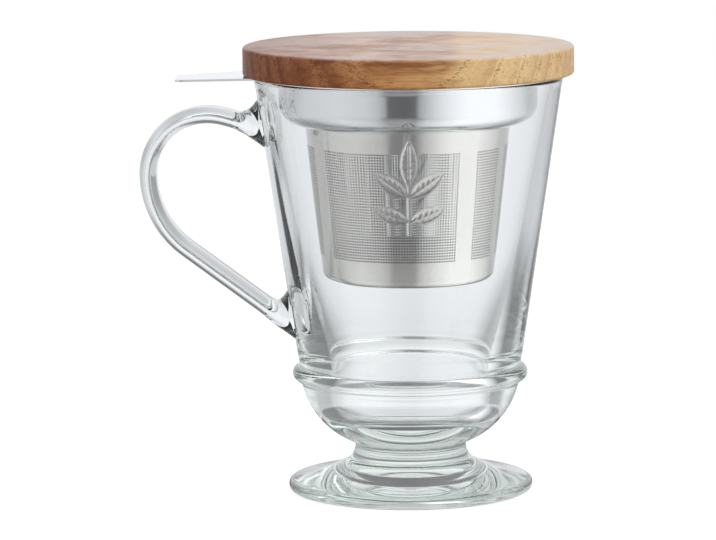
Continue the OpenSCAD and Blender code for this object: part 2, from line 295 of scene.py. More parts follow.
class Wiring:
    """Short calls that add and join the nodes of one tree."""

    MIX_A, MIX_B, MIX_RESULT = 6, 7, 2  # numbers of a Mix node's colour sockets

    def __init__(self, tree: bpy.types.NodeTree) -> None:
        """Work on that tree."""
        self.tree = tree

    def add(self, kind: str, inputs: Mapping[str | int, object] | None = None,
            **settings: object) -> bpy.types.Node:
        """Add a node.

        Args:
            kind: Its type, without the ShaderNode in front.
            inputs: Sockets or values by the name or number of the input they feed.
            settings: Properties to set.

        Returns:
            The node.
        """
        node = self.tree.nodes.new("ShaderNode" + kind)
        for key, value in settings.items():
            setattr(node, key, value)
        for key, value in (inputs or {}).items():
            self.feed(node.inputs[key], value)
        return node

    def feed(self, socket: Socket, value: object) -> None:
        """Join a socket to an input, or set the input's own value.

        Args:
            socket: The input.
            value: A socket, a number, a vector, or a colour of three shares.
        """
        if isinstance(value, bpy.types.NodeSocket):
            self.tree.links.new(value, socket)
        elif socket.type == "RGBA":
            socket.default_value = (*value, 1)
        else:
            socket.default_value = value

    def math(self, operation: str, a: object, b: object = 0.0) -> Socket:
        """Result of a Math node."""
        return self.add("Math", {0: a, 1: b}, operation=operation).outputs[0]

    def shift(self, value: Socket, noise: Socket, reach: object) -> Socket:
        """Value moved up or down by a noise of 0 to 1, whose whole swing is the reach."""
        return self.math("ADD", value, self.math("MULTIPLY", self.math("SUBTRACT", noise, 0.5), reach))

    def ramp(self, value: object, low: object, high: object, to_low: object = 0.0, to_high: object = 1.0,
             kind: str = "SMOOTHSTEP") -> Socket:
        """Value moved from one range to another and held inside it."""
        inputs = {"Value": value, "From Min": low, "From Max": high, "To Min": to_low, "To Max": to_high}
        return self.add("MapRange", inputs, interpolation_type=kind).outputs["Result"]

    def belt(self, x: Socket, y: Socket, lights: Belt) -> Socket:
        """Brightness of a belt round the axis.

        Args:
            x: First part of the place or direction.
            y: Second part of it.
            lights: The belt's brightness by angle.

        Returns:
            The brightness at that place or direction, as a grey.
        """
        turn = self.math("ARCTAN2", x, self.math("MULTIPLY", y, -1.0))
        return self.stops(self.ramp(turn, -math.pi, math.pi, kind="LINEAR"),
                          [(angle / 360 + 0.5, (light,) * 3) for angle, light in lights])

    def stops(self, value: Socket, colours: Sequence[tuple[float, Colour]]) -> Socket:
        """Colour that runs from stop to stop.

        Args:
            value: Place on the way, from 0 to 1.
            colours: Place and colour of each stop, in order.

        Returns:
            The colour at that place.
        """
        node = self.add("ValToRGB", {0: value})
        while len(node.color_ramp.elements) < len(colours):
            node.color_ramp.elements.new(0.5)
        for element, (place, colour) in zip(node.color_ramp.elements, colours):
            element.position = place
            element.color = (*colour, 1)
        return node.outputs[0]

    def blend(self, factor: object, a: object, b: object, mode: str = "MIX") -> Socket:
        """Colour of a Mix node.

        Args:
            factor: Share of the second colour.
            a: First colour.
            b: Second colour.
            mode: Blend type.

        Returns:
            The mixed colour.
        """
        node = self.add("Mix", data_type="RGBA", blend_type=mode)
        for key, value in ((0, factor), (self.MIX_A, a), (self.MIX_B, b)):
            self.feed(node.inputs[key], value)
        return node.outputs[self.MIX_RESULT]

    def stretched(self, vector: Socket, scale: Sequence[float]) -> Socket:
        """Vector scaled along each axis."""
        return self.add("Mapping", {"Vector": vector, "Scale": scale}).outputs[0]

    def noise(self, vector: Socket, scale: object, detail: float, roughness: float = 0.5) -> Socket:
        """Value of a Noise Texture."""
        inputs = {"Vector": vector, "Scale": scale, "Detail": detail, "Roughness": roughness}
        return self.add("TexNoise", inputs).outputs["Fac"]

    def bump(self, height: Socket, distance: float, strength: float = 1.0) -> Socket:
        """Normal of a Bump node; distance in metres."""
        return self.add("Bump", {"Height": height, "Distance": distance, "Strength": strength}).outputs[0]


class Group:
    """Node groups for effects that several finishes share, each built once."""

    MOST: Range = (0.25, 0.75)      # between these lie most of a noise's values
    _built: dict[str, bpy.types.NodeTree] = {}

    @classmethod
    def _new(cls, name: str, inputs: Mapping[str, tuple[str, object]],
             outputs: Sequence[str]) -> tuple[Wiring, bpy.types.NodeOutputs, bpy.types.NodeInputs]:
        """Empty group with named sockets.

        Args:
            name: Name of the group.
            inputs: Socket type and default by name.
            outputs: Names of the float outputs.

        Returns:
            Its wiring, what it is given and what it puts out.
        """
        tree = bpy.data.node_groups.new(name, "ShaderNodeTree")
        for key, (kind, default) in inputs.items():
            socket = tree.interface.new_socket(key, in_out="INPUT", socket_type="NodeSocket" + kind)
            if default is not None:
                socket.default_value = default
        for key in outputs:
            tree.interface.new_socket(key, in_out="OUTPUT", socket_type="NodeSocketFloat")
        cls._built[name] = tree
        given, result = (tree.nodes.new("NodeGroup" + side) for side in ("Input", "Output"))
        return Wiring(tree), given.outputs, result.inputs

    @classmethod
    def spun_lines(cls) -> bpy.types.NodeTree:
        """Fine lines that run round a turned piece: noise, stretched along the turn and dense across it.

        Returns:
            The group's tree.
        """
        name = "Spun lines"
        if name not in cls._built:
            inputs = {"Spin": ("Vector", None), "Turn": ("Float", 3.0), "Lines": ("Float", 9000.0),
                      "Low": ("Float", 0.2), "High": ("Float", 0.3)}
            wire, given, result = cls._new(name, inputs, ("Height", "Roughness"))
            scale = wire.add("CombineXYZ", {0: given["Turn"], 1: given["Turn"], 2: given["Lines"]}).outputs[0]
            place = wire.add("VectorMath", {0: given["Spin"], 1: scale}, operation="MULTIPLY").outputs[0]
            lines = wire.noise(place, 1.0, 2.0)
            wire.feed(result["Height"], lines)
            rough = wire.ramp(lines, *cls.MOST, given["Low"], given["High"], "LINEAR")
            wire.feed(result["Roughness"], rough)
        return cls._built[name]

    @classmethod
    def handling(cls) -> bpy.types.NodeTree:
        """Faint marks of handling: broad noise that raises or lowers a roughness a little.

        Returns:
            The group's tree.
        """
        name = "Handling"
        if name not in cls._built:
            inputs = {"Place": ("Vector", None), "Scale": ("Float", 60.0), "Amount": ("Float", 0.05),
                      "Roughness": ("Float", 0.3)}
            wire, given, result = cls._new(name, inputs, ("Roughness",))
            marks = wire.noise(given["Place"], given["Scale"], 4.0)
            wire.feed(result["Roughness"], wire.shift(given["Roughness"], marks, given["Amount"]))
        return cls._built[name]


# ---------------------------------------------------------------- finishes

@dataclass(frozen=True)
class Finish:
    """A finish for a piece: a Principled shader whose constant values are set on its own sockets."""

    name: str
    colour: Colour
    roughness: float

    def sockets(self) -> dict[str, object]:
        """Constant values of the shader, by socket."""
        return {"Base Color": self.colour, "Roughness": self.roughness}

    def wire(self, wiring: Wiring, shader: bpy.types.Node) -> None:
        """Add what varies over the surface."""

    def material(self) -> bpy.types.Material:
        """The material, built the first time it is asked for.

        Returns:
            The material.
        """
        made = bpy.data.materials.get(self.name)
        if made is None:
            made = bpy.data.materials.new(self.name)
            made.use_nodes = True
            wiring, shader = Wiring(made.node_tree), made.node_tree.nodes["Principled BSDF"]
            for socket, value in self.sockets().items():
                wiring.feed(shader.inputs[socket], value)
            self.wire(wiring, shader)
        return made


@dataclass(frozen=True)
class Handled(Finish):
    """A finish whose roughness carries marks of handling."""

    marks: float                    # density of the marks, for each metre
    wear: float                     # whole swing that they give the roughness

    def worn(self, wiring: Wiring, place: Socket, roughness: object) -> Socket:
        """Roughness with the marks on it."""
        given = {"Place": place, "Scale": self.marks, "Amount": self.wear, "Roughness": roughness}
        return wiring.add("Group", given, node_tree=Group.handling()).outputs["Roughness"]


@dataclass(frozen=True)
class Glass(Finish):
    """Clear pressed glass whose tint deepens with the way through it."""

    ior: float = 1.51
    tint: Colour = (0.66, 0.88, 0.68)
    density: float = 4.5

    def sockets(self) -> dict[str, object]:
        """Plain transmission, no metal."""
        return {**super().sockets(), "IOR": self.ior, "Metallic": 0.0, "Transmission Weight": 1.0}

    def wire(self, wiring: Wiring, shader: bpy.types.Node) -> None:
        """Absorb light inside the glass."""
        tint = wiring.add("VolumeAbsorption", {"Color": self.tint, "Density": self.density}).outputs[0]
        wiring.feed(wiring.tree.nodes["Material Output"].inputs["Volume"], tint)


@dataclass(frozen=True)
class Steel(Handled):
    """Stainless sheet with fine lines that run round the piece, and faint marks of handling."""

    spread: float                   # how far the lines move the roughness, up and down
    lines: float                    # density of the lines, for each metre of the outline
    depth: float = 0.4e-6           # height of the lines, in metres
    inside: float = 1.0             # brightness of faces that look towards the axis, as a share of the others: painted shade
    inner_shade: Range = (-0.1, -0.4)    # cosine between such a face and the way out from the axis

    def sockets(self) -> dict[str, object]:
        """All metal."""
        return {**super().sockets(), "Metallic": 1.0}

    def wire(self, wiring: Wiring, shader: bpy.types.Node) -> None:
        """Roughness from lines and marks, a shallow bump from the lines, and painted shade on the inner
        faces.

        Args:
            wiring: Wiring of the material.
            shader: Its Principled shader.
        """
        spin = wiring.add("Attribute", attribute_name=SPIN).outputs["Vector"]
        given = {"Spin": spin, "Lines": self.lines, "Low": self.roughness - self.spread,
                 "High": self.roughness + self.spread}
        lines = wiring.add("Group", given, node_tree=Group.spun_lines()).outputs
        place = wiring.add("TexCoord").outputs["Object"]
        wiring.feed(shader.inputs["Roughness"], self.worn(wiring, place, lines["Roughness"]))
        wiring.feed(shader.inputs["Normal"], wiring.bump(lines["Height"], self.depth))
        # painted shade: faces that look towards the axis get a darker base colour
        if self.inside < 1:
            normal = wiring.add("NewGeometry").outputs["True Normal"]
            outward = wiring.stretched(spin, (1, 1, 0))
            facing = wiring.add("VectorMath", {0: normal, 1: outward}, operation="DOT_PRODUCT")
            inner_shade = wiring.ramp(facing.outputs["Value"], *self.inner_shade)
            inner_shade_colour = tuple(value * self.inside for value in self.colour)
            wiring.feed(shader.inputs["Base Color"], wiring.blend(inner_shade, self.colour, inner_shade_colour))


@dataclass(frozen=True)
class Silicone(Handled):
    """Translucent food-grade silicone."""

    scatter: float = 0.4
    reach: float = 2 * MM           # how far light gets into it

    def sockets(self) -> dict[str, object]:
        """Light scatters a little way into it."""
        return {**super().sockets(), "Subsurface Weight": self.scatter,
                "Subsurface Radius": (self.reach,) * 3}

    def wire(self, wiring: Wiring, shader: bpy.types.Node) -> None:
        """Marks of handling in the roughness."""
        place = wiring.add("TexCoord").outputs["Object"]
        wiring.feed(shader.inputs["Roughness"], self.worn(wiring, place, self.roughness))


@dataclass(frozen=True)
class Fibre:
    """Noise in the wood, stretched along the grain, and the share of an effect that it lets through."""

    along: float                    # density along the grain and across it, for each metre
    across: float
    detail: float
    roughness: float = 0.5
    shows: Range = (0.0, 1.0)       # noise at which the effect begins and is full
    share: Range = (0.0, 1.0)       # how much of the effect is there at each

    def noise(self, wiring: Wiring, place: Socket) -> Socket:
        """The noise itself, from 0 to 1."""
        stretch = (self.along, self.across, self.across)
        return wiring.noise(wiring.stretched(place, stretch), 1.0, self.detail, self.roughness)

    def mask(self, wiring: Wiring, noise: Socket) -> Socket:
        """Share of the effect at that noise."""
        return wiring.ramp(noise, *self.shows, *self.share)


@dataclass(frozen=True)
class Oak(Handled):
    """Oiled oak: grain along X, growth rings that stand nearly upright across Y, and heartwood at -X."""

    ring: float = 5.0 * MM
    lean: float = -0.31             # how far the rings lean, in Y for each step up in Z
    start: float = -84.3 * MM       # leaning depth at which a ring ends
    bends: tuple[tuple[Fibre, float], ...] = (  # what bends the rings, and how far in metres
        (Fibre(12, 40, 2.0), 5.0 * MM), (Fibre(90, 900, 3.0, 0.65), 1.0 * MM))
    late_power: float = 1.6         # how late in a ring its late wood comes
    late_end: Range = (1.0, 0.78)   # place in a ring where late wood ends, and where it is densest
    late_share: Range = (0.5, 1.2)  # least and most late wood in a ring
    cloud: Fibre = Fibre(30, 90, 3.0)
    sway: float = 14.0 * MM         # how far the cloud moves the tones along the grain
    streak: Fibre = Fibre(28, 420, 4.0, 0.6, (0.48, 0.7), (0.0, 0.85))
    grain: Fibre = Fibre(60, 2400, 3.0, 0.6, (0.4, 0.7), (0.0, 0.6))
    blotch: Fibre = Fibre(50, 60, 4.0, 0.65, (0.45, 0.68), (0.0, 0.5))
    wisp: Fibre = Fibre(40, 700, 3.0, 0.6, (0.3, 0.6), (0.35, 1.0))
    slot: Fibre = Fibre(420, 2400, 1.0, 0.5, (0.52, 0.6))
    dash: Fibre = Fibre(130, 3200, 1.0, 0.5, (0.66, 0.74), (0.0, 0.8))
    tones: tuple[tuple[float, Colour], ...] = (  # tone by place along the grain
        (-46.0, (0.38, 0.125, 0.04)), (-36.0, (0.44, 0.16, 0.055)), (-28.0, (0.5, 0.19, 0.065)),
        (-20.0, (0.6, 0.26, 0.095)), (-8.0, (0.8, 0.4, 0.15)), (4.0, (0.95, 0.53, 0.21)),
        (16.0, (1.0, 0.66, 0.3)), (34.0, (1.0, 0.71, 0.36)), (46.0, (0.94, 0.62, 0.3)))
    dark: Colour = (0.38, 0.23, 0.16)   # late wood and streaks, as a share of the tone
    heart: Range = (14.0 * MM, -24.0 * MM)  # place along the grain from which the dark is full
    heart_share: Range = (0.4, 1.0)
    figure: Colour = (0.52, 0.4, 0.36)  # reddish figure high on the front, as a share of the tone
    figure_x: float = 2.0 * MM      # its middle along the grain
    figure_half: Range = (15.0 * MM, 7.0 * MM)  # distance from there at which it begins and is full
    figure_z: Range = (123.6 * MM, 126.4 * MM)  # height over which it comes in
    crown: Range = (128.4 * MM, 128.9 * MM)     # height over which the painted sheen on the top comes in
    painted_sheen_colour: Colour = (0.64, 0.51, 0.44)   # colour of the painted sheen
    painted_sheen: Range = (0.4, 0.62)       # blotch at which the painted sheen is pale, and at which the tone shows through
    painted_sheen_tone: Range = (0.1, 0.75)  # how much of the tone shows at each
    top_sheen_weight: Range = (0.55, 0.15)    # sheen at each
    painted_sheen_x: Range = (-46.0 * MM, -10.0 * MM)    # place along the grain over which the painted sheen grows stronger
    painted_sheen_share: Range = (0.12, 0.7)
    pore: Colour = (0.1, 0.035, 0.014)
    pore_share: float = 0.6
    early: Range = (0.2, 0.05)      # place in a ring where early wood with its open pores ends and is full
    relief: float = 0.3             # height of the grain, as a share of a pore's depth
    pore_depth: float = 0.02 * MM
    bump_strength: float = 0.6
    film: float = 0.25              # how much the oil film reflects
    fibre_roughness: float = 0.3
    fibre_tint: Colour = (1.0, 0.97, 0.95)

    def sockets(self) -> dict[str, object]:
        """A thin oil film, and fibres that catch the light at grazing angles."""
        return {**super().sockets(), "Specular IOR Level": self.film,
                "Sheen Roughness": self.fibre_roughness, "Sheen Tint": self.fibre_tint}

    def rings(self, wiring: Wiring, place: Socket,
              split: bpy.types.NodeOutputs) -> tuple[Socket, Socket]:
        """Late wood and position in a ring.

        The depth Y + lean Z, bent by a broad noise and ragged by a fine one, is cut into rings; late wood is
        dense at the end of each.

        Args:
            wiring: Wiring of the material.
            place: Object coordinates.
            split: Their three parts.

        Returns:
            The share of late wood, and the place in the ring from 0 to 1.
        """
        depth = wiring.math("ADD", split["Y"], wiring.math("MULTIPLY", split["Z"], self.lean))
        for fibre, reach in self.bends:
            depth = wiring.shift(depth, fibre.noise(wiring, place), reach)
        turns = wiring.math("DIVIDE", wiring.math("SUBTRACT", depth, self.start), self.ring)
        phase = wiring.math("FRACT", turns)
        late = wiring.math("POWER", phase, self.late_power)
        late = wiring.math("MULTIPLY", late, wiring.ramp(phase, *self.late_end))
        number = wiring.math("FLOOR", turns)
        chance = wiring.add("TexWhiteNoise", {"W": number}, noise_dimensions="1D").outputs["Value"]
        return wiring.math("MULTIPLY", late, wiring.ramp(chance, 0.0, 1.0, *self.late_share)), phase

    def darkened(self, wiring: Wiring, along: Socket, shares: Sequence[Socket]) -> Socket:
        """Tone from heartwood to sapwood, darkened by late wood, streaks, grain and blotches.

        Args:
            wiring: Wiring of the material.
            along: Place along the grain.
            shares: How much each effect darkens the tone.

        Returns:
            The tone.
        """
        low, high = self.tones[0][0] * MM, self.tones[-1][0] * MM
        tone = wiring.stops(wiring.ramp(along, low, high, kind="LINEAR"),
                            [((place * MM - low) / (high - low), colour) for place, colour in self.tones])
        deep = wiring.blend(1.0, tone, self.dark, "MULTIPLY")
        heart = wiring.ramp(along, *self.heart, *self.heart_share)
        for share in shares:
            tone = wiring.blend(wiring.math("MULTIPLY", share, heart), tone, deep)
        return tone

    def figured(self, wiring: Wiring, along: Socket, height: Socket, wisps: Socket, tone: Socket) -> Socket:
        """Tone with the reddish figure high on the front, which wisps break up.

        Args:
            wiring: Wiring of the material.
            along: Place along the grain.
            height: Height over the table.
            wisps: Share that the wisps leave of the figure.
            tone: Tone of the wood.

        Returns:
            The new tone.
        """
        aside = wiring.math("ABSOLUTE", wiring.math("SUBTRACT", along, self.figure_x))
        near, high = wiring.ramp(aside, *self.figure_half), wiring.ramp(height, *self.figure_z)
        there = wiring.math("MULTIPLY", wiring.math("MULTIPLY", near, high), wisps)
        return wiring.blend(there, tone, wiring.blend(1.0, tone, self.figure, "MULTIPLY"))

    def pores(self, wiring: Wiring, place: Socket, phase: Socket) -> Socket:
        """Open pores: short slots in the early wood, and fine dashes everywhere."""
        slots, dashes = (fibre.mask(wiring, fibre.noise(wiring, place)) for fibre in (self.slot, self.dash))
        return wiring.math("MAXIMUM", wiring.math("MULTIPLY", slots, wiring.ramp(phase, *self.early)), dashes)

    def wire(self, wiring: Wiring, shader: bpy.types.Node) -> None:
        """Tone, figure, painted sheen that makes the top paler, pores, and a relief of grain and pores.

        Args:
            wiring: Wiring of the material.
            shader: Its Principled shader.
        """
        place = wiring.add("TexCoord").outputs["Object"]
        split = wiring.add("SeparateXYZ", {0: place}).outputs
        late, phase = self.rings(wiring, place, split)
        along = wiring.shift(split["X"], self.cloud.noise(wiring, place), self.sway)
        streak, grain, blotch, wisp = (fibre.noise(wiring, place)
                                       for fibre in (self.streak, self.grain, self.blotch, self.wisp))
        shares = (late, self.streak.mask(wiring, streak), self.grain.mask(wiring, grain),
                  self.blotch.mask(wiring, blotch))
        tone = self.darkened(wiring, along, shares)
        tone = self.figured(wiring, along, split["Z"], self.wisp.mask(wiring, wisp), tone)
        # painted sheen: the top made paler, more towards +X, broken up by blotches
        top = wiring.ramp(split["Z"], *self.crown)
        painted_sheen = wiring.blend(wiring.ramp(blotch, *self.painted_sheen, *self.painted_sheen_tone), self.painted_sheen_colour, tone)
        sheen_paint_amount = wiring.math("MULTIPLY", top, wiring.ramp(along, *self.painted_sheen_x, *self.painted_sheen_share))
        sheen = wiring.math("MULTIPLY", top, wiring.ramp(blotch, *self.painted_sheen, *self.top_sheen_weight))
        pores = self.pores(wiring, place, phase)
        tone = wiring.blend(sheen_paint_amount, tone, painted_sheen)
        tone = wiring.blend(wiring.math("MULTIPLY", pores, self.pore_share), tone, self.pore)
        relief = wiring.math("SUBTRACT", wiring.math("MULTIPLY", grain, self.relief), pores)
        wiring.feed(shader.inputs["Base Color"], tone)
        wiring.feed(shader.inputs["Sheen Weight"], sheen)
        wiring.feed(shader.inputs["Roughness"], self.worn(wiring, place, self.roughness))
        wiring.feed(shader.inputs["Normal"], wiring.bump(relief, self.pore_depth, self.bump_strength))


@dataclass(frozen=True)
class Table(Finish):
    """White table: plain white with a soft shadow to the camera, painted light from the sides to metal and
    glass.
    """

    glow: float = 0.85
    tone: Colour = DAYLIGHT
    painted_shadow: float = 0.17             # brightness of the painted shadow beside the foot
    reach: Range = (0.021, 0.042)   # distance from the axis over which the painted shadow ends, in metres
    apart: Range = (0.12, 0.26)     # distance over which the near painted light gives way to the far one
    # painted light on the table, by angle, near the foot and far from it
    near: Belt = (
        (-180, 0.82), (-162, 0.78), (-148, 0.25), (-105, 0.2), (-80, 0.8), (-60, 1.0), (-40, 0.85),
        (-27, 0.65), (-20, 0.45), (6, 0.45), (14, 0.8), (30, 1.1), (52, 1.4), (80, 1.4), (95, 1.2),
        (112, 0.75), (128, 0.15), (148, 0.2), (162, 0.78), (180, 0.82))
    far: Belt = (
        (-180, 0.9), (-165, 0.87), (-150, 0.7), (-130, 0.6), (-114, 0.62), (-96, 0.8), (-60, 0.87),
        (-27, 0.66), (-19, 0.3), (7, 0.3), (16, 0.67), (37, 1.13), (52, 1.3), (80, 1.3), (95, 1.1),
        (112, 0.85), (124, 0.6), (145, 0.65), (160, 0.85), (180, 0.9))

    def wire(self, wiring: Wiring, shader: bpy.types.Node) -> None:
        """Plain paint and a glow for the camera; reflections and refractions see only a glow of painted light
        and shadow.

        Args:
            wiring: Wiring of the material.
            shader: Its Principled shader.
        """
        path = wiring.add("LightPath").outputs
        seen = wiring.math("MULTIPLY", path["Is Camera Ray"], self.glow)
        glow = wiring.add("Emission", {"Color": (1, 1, 1), "Strength": seen}).outputs[0]
        plain = wiring.add("AddShader", {0: shader.outputs[0], 1: glow}).outputs[0]
        place = wiring.add("TexCoord").outputs["Object"]
        x, y, _ = wiring.add("SeparateXYZ", {0: place}).outputs
        away = wiring.add("VectorMath", {0: place}, operation="LENGTH").outputs["Value"]
        near, far = (wiring.belt(x, y, lights) for lights in (self.near, self.far))
        painted_light = wiring.blend(wiring.ramp(away, *self.apart), near, far)
        # painted shadow beside the foot
        painted_light = wiring.blend(wiring.ramp(away, *self.reach), (self.painted_shadow,) * 3, painted_light)
        painted_light = wiring.blend(1.0, painted_light, self.tone, "MULTIPLY")
        painted_light = wiring.add("Emission", {"Color": painted_light, "Strength": 1.0}).outputs[0]
        other = wiring.math("MAXIMUM", path["Is Glossy Ray"], path["Is Transmission Ray"])
        surface = wiring.add("MixShader", {0: other, 1: plain, 2: painted_light}).outputs[0]
        wiring.feed(wiring.tree.nodes["Material Output"].inputs["Surface"], surface)


class Look(Enum):
    """The finishes of this mug."""

    GLASS = Glass("pressed_glass", (1.0, 1.0, 1.0), 0.0)
    POLISHED = Steel("bright_steel", (0.78, 0.785, 0.79), 0.08, marks=70.0, wear=0.04, spread=0.02,
                     lines=14000.0)
    # the basket's steel, with painted shade on its faces towards the axis
    SATIN = Steel("etched_steel", (0.72, 0.705, 0.67), 0.13, marks=70.0, wear=0.06, spread=0.03,
                  lines=9000.0, inside=0.3)
    SILICONE = Silicone("clear_silicone", (0.85, 0.85, 0.83), 0.45, marks=200.0, wear=0.1)
    OAK = Oak("oiled_oak", (0.66, 0.43, 0.24), 0.42, marks=45.0, wear=0.12)
    TABLE = Table("white_table", (0.3, 0.3, 0.3), 0.9)


def dress(piece: bpy.types.Object, look: Look, body: str, slot: str, nodes: Sequence[str]) -> None:
    """Dress a piece, put it on its body, hide the CAD nodes that it replaces, and log it.

    Args:
        piece: The piece.
        look: Its finish.
        body: The body that it rides on.
        slot: The record's slot for its material; not used.
        nodes: The CAD nodes that it replaces.
    """
    piece.data.materials.clear()
    piece.data.materials.append(look.value.material())
    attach(piece, body)
    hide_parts(*nodes)
    LOG.info("%s: %d faces on %s, %s", piece.name, len(piece.data.polygons), body, look.value.name)


# ---------------------------------------------------------------- mug

@dataclass(frozen=True)
class Leaf:
    """A leaf; where it leaves the stem, its length and its width are shares of the sprig's height."""

    start: float
    angle: float                    # in degrees, from the right
    length: float
    width: float


@dataclass(frozen=True)
class Sprig:
    """Tea sprig in relief on the front of the glass: an upright bud on a stem with two pairs of leaves."""

    height: float = 27.0
    drop: float = 14.2              # depth of the tip below the rim
    rise: float = 0.9               # how far it stands out of the wall
    stem: float = 1.1
    stem_share: float = 0.6         # length of the stem, as a share of the sprig's height
    stem_rise: float = 0.7          # height of the stem, as a share of a leaf's
    stem_crown: float = 1.5         # steepness of the stem's edge; over 1 its middle is flat
    crown: float = 1.4              # steepness of a leaf's edge
    vein: float = 0.32              # half width of the middle vein
    vein_share: float = 0.5         # its depth, as a share of the leaf's height
    rib: float = 1.7                # spacing of the side veins
    rib_share: float = 0.14
    rib_slant: float = 0.7          # how far a side vein runs back for each millimetre outwards
    leaves: tuple[Leaf, ...] = (
        Leaf(0.5, 90, 0.5, 0.2), Leaf(0.4, 35, 0.42, 0.16), Leaf(0.4, 145, 0.42, 0.16),
        Leaf(0.14, 20, 0.38, 0.15), Leaf(0.14, 160, 0.38, 0.15))

    def leaf(self, leaf: Leaf, across: Array, up: Array) -> Array:
        """Height of one leaf, 0 to 1.

        A leaf's half width over its length s is a parabola, its section a flat arch, and a vein runs down its
        middle with slanting side veins.

        Args:
            leaf: The leaf.
            across: Places across the front.
            up: Places up from the sprig's foot.

        Returns:
            The height at each place.
        """
        angle = math.radians(leaf.angle)
        rise = up - leaf.start * self.height
        s = (across * math.cos(angle) + rise * math.sin(angle)) / (leaf.length * self.height)
        t = rise * math.cos(angle) - across * math.sin(angle)
        half = np.maximum(2 * leaf.width * self.height * s * (1 - s), 1e-6)
        arch = smooth(self.crown * (1 - (t / half) ** 2)) * (s > 0) * (s < 1)
        veins = 1 - self.vein_share * np.exp(-(t / self.vein) ** 2)
        along = s * leaf.length * self.height - self.rib_slant * np.abs(t)
        return arch * veins * (1 - self.rib_share * np.cos(2 * math.pi * along / self.rib))

    def swell(self, across: Array, up: Array) -> Array:
        """How far the sprig stands out of the wall: the highest of its leaves and its rounded stem.

        Args:
            across: Places across the front.
            up: Places up from the sprig's foot.

        Returns:
            The distance at each place.
        """
        heights = [self.leaf(leaf, across, up) for leaf in self.leaves]
        stem = smooth(self.stem_crown * (1 - (2 * across / self.stem) ** 2))
        stem = stem * (up > 0) * (up < self.stem_share * self.height)
        return self.rise * np.maximum.reduce([*heights, self.stem_rise * stem])


